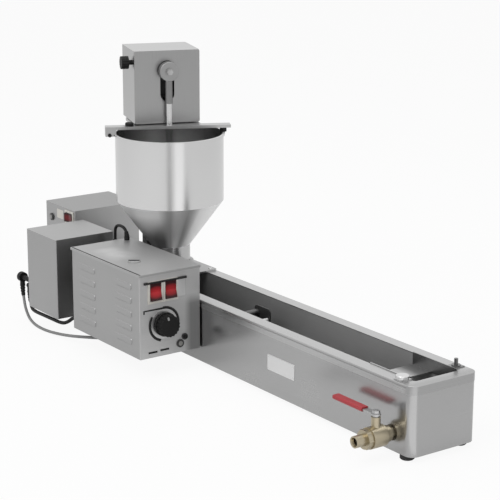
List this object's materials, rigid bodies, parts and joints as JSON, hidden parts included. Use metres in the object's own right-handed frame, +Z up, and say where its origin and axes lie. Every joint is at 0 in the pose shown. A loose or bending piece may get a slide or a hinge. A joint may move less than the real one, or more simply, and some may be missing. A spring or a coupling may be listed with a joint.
{
  "type": "donut machine",
  "caption": "Table-top stainless donut machine with oil tank, dough hopper, plunger head, control box and drain valve",
  "frame": {"origin": "On the table under the middle of the machine's box, cords left out", "axes": "+X along the oil tank toward the discharge end, +Y away from the control box, +Z up"},
  "size_m": [1.06, 0.2911, 0.5078],
  "materials": {
    "tank_sheet": "brushed stainless sheet",
    "box_sheet": "brushed stainless sheet",
    "head_sheet": "brushed stainless sheet",
    "hopper_sheet": "polished stainless sheet",
    "bright_steel": "ground steel bar",
    "plain_steel": "plain stainless strip",
    "sleeve_steel": "plain steel tube",
    "pale_eye": "turned aluminium",
    "black_plastic": "moulded black plastic",
    "pale_plastic": "moulded pale plastic",
    "red_rocker": "lit red rocker",
    "dark_red_rocker": "dark red rocker",
    "lamp_lens": "smoked lens",
    "red_vinyl": "dipped red vinyl",
    "valve_brass": "plated brass",
    "foot_rubber": "black rubber",
    "element_sheath": "heat-tinted sheath",
    "motor_paint": "grey paint",
    "cord_grey": "grey cable sheath",
    "cord_black": "black cable sheath"
  },
  "bodies": {
    "machine": {"bar_fittings": "black_plastic", "black_cord": "cord_black", "box_brackets": "box_sheet", "bridge_bar": "head_sheet", "cable_glands": "black_plastic", "casing": "tank_sheet", "control_lid": "box_sheet", "control_panel": "box_sheet", "control_shell": "box_sheet", "conveyor_motor": "motor_paint", "discharge_bolts": "plain_steel", "discharge_plate": "plain_steel", "dough_nozzle": "hopper_sheet", "grey_cord": "cord_grey", "guide_rods": "bright_steel", "head_front": "head_sheet", "head_motor": "motor_paint", "head_rails": "head_sheet", "head_shell": "head_sheet", "heaterbox_cover": "box_sheet", "heaterbox_shell": "box_sheet", "heating_elements": "element_sheath", "hopper": "hopper_sheet", "hopper_seat": "hopper_sheet", "lamp_lenses": "lamp_lens", "lid_plug": "black_plastic", "link_cable": "cord_black", "motorbox_back": "box_sheet", "motorbox_shell": "box_sheet", "oil_tank": "tank_sheet", "panel_bezels": "black_plastic", "rubber_feet": "foot_rubber", "shaft_bearings": "plain_steel", "switch_frames": "pale_plastic", "tank_rim": "tank_sheet", "temperature_probe": "element_sheath", "thermostat": "black_plastic", "turner_frame": "plain_steel", "valve_body": "valve_brass"},
    "left_switch": {"left_rocker": "red_rocker"},
    "right_switch": {"right_rocker": "red_rocker"},
    "heater_switch": {"heater_rocker": "dark_red_rocker"},
    "thermostat_dial": {"thermostat_knob": "black_plastic"},
    "reset": {"reset_button": "black_plastic"},
    "drain_handle": {"valve_ball": "bright_steel", "valve_stem": "plain_steel", "valve_lever": "plain_steel", "lever_sleeve": "red_vinyl"},
    "speed_dial": {"speed_knob": "black_plastic"},
    "head_crank": {"crank_disc": "plain_steel"},
    "plunger": {"slider_block": "plain_steel", "drive_eye": "pale_eye", "rod_sleeve": "sleeve_steel", "plunger_rod": "bright_steel", "piston": "bright_steel"},
    "conveyor_crank": {"drive_crank": "plain_steel"},
    "conveyor_carriage": {"drive_yoke": "plain_steel"},
    "rake": {"pusher_shaft": "bright_steel", "paddles": "plain_steel"},
    "turner": {"turner_tray": "plain_steel"}
  },
  "joints": [
    {"name": "left_switch_tilt", "type": "hinge", "parent": "machine", "child": "left_switch", "pos_m": [-0.009, -0.1109, 0.146], "axis": [0, 1, 0], "range_deg": [0, 14]},
    {"name": "right_switch_tilt", "type": "hinge", "parent": "machine", "child": "right_switch", "pos_m": [-0.009, -0.0814, 0.146], "axis": [0, 1, 0], "range_deg": [0, 14]},
    {"name": "heater_switch_tilt", "type": "hinge", "parent": "machine", "child": "heater_switch", "pos_m": [-0.43918, -0.0264, 0.174], "axis": [0, 0, -1], "range_deg": [0, 14]},
    {"name": "thermostat_turn", "type": "hinge", "parent": "machine", "child": "thermostat_dial", "pos_m": [-0.0067, -0.0939, 0.0883], "axis": [-1, 0, 0], "range_deg": [0, 270]},
    {"name": "reset_press", "type": "slide", "parent": "machine", "child": "reset", "axis": [-1, 0, 0], "range_m": [0, 0.0025], "stiffness_N_per_m": 400},
    {"name": "drain_turn", "type": "hinge", "parent": "machine", "child": "drain_handle", "pos_m": [0.481, -0.0469, 0.0345], "axis": [0, 0, 1], "range_deg": [0, 90]},
    {"name": "speed_turn", "type": "hinge", "parent": "machine", "child": "speed_dial", "pos_m": [-0.2553, -0.00521, 0.486], "axis": [0.3338, 0.9426, 0], "range_deg": [0, 300]},
    {"name": "plunger_stroke", "type": "slide", "parent": "machine", "child": "plunger", "axis": [0, 0, -1], "range_m": [0, 0.036]},
    {"name": "head_crank_turn", "type": "hinge", "parent": "machine", "child": "head_crank", "pos_m": [-0.24336, 0.05846, 0.455], "axis": [0.9426, -0.3338, 0], "range_deg": [0, 180]},
    {"name": "carriage_slide", "type": "slide", "parent": "machine", "child": "conveyor_carriage", "axis": [1, 0, 0], "range_m": [0, 0.044]},
    {"name": "conveyor_crank_turn", "type": "hinge", "parent": "machine", "child": "conveyor_crank", "pos_m": [-0.341, -0.0479, 0.102], "axis": [0, 1, 0], "range_deg": [0, 180]},
    {"name": "rake_swing", "type": "hinge", "parent": "conveyor_carriage", "child": "rake", "pos_m": [-0.363, 0.0091, 0.083], "axis": [1, 0, 0], "range_deg": [0, 60]},
    {"name": "turner_flip", "type": "hinge", "parent": "machine", "child": "turner", "pos_m": [0.058, 0.0431, 0.101], "axis": [0, 1, 0], "range_deg": [0, 140]}
  ],
  "couplings": [
    {"joint": "head_crank_turn", "follows": "plunger_stroke", "rad_per_m": 87.26},
    {"joint": "conveyor_crank_turn", "follows": "carriage_slide", "rad_per_m": 71.39}
  ]
}
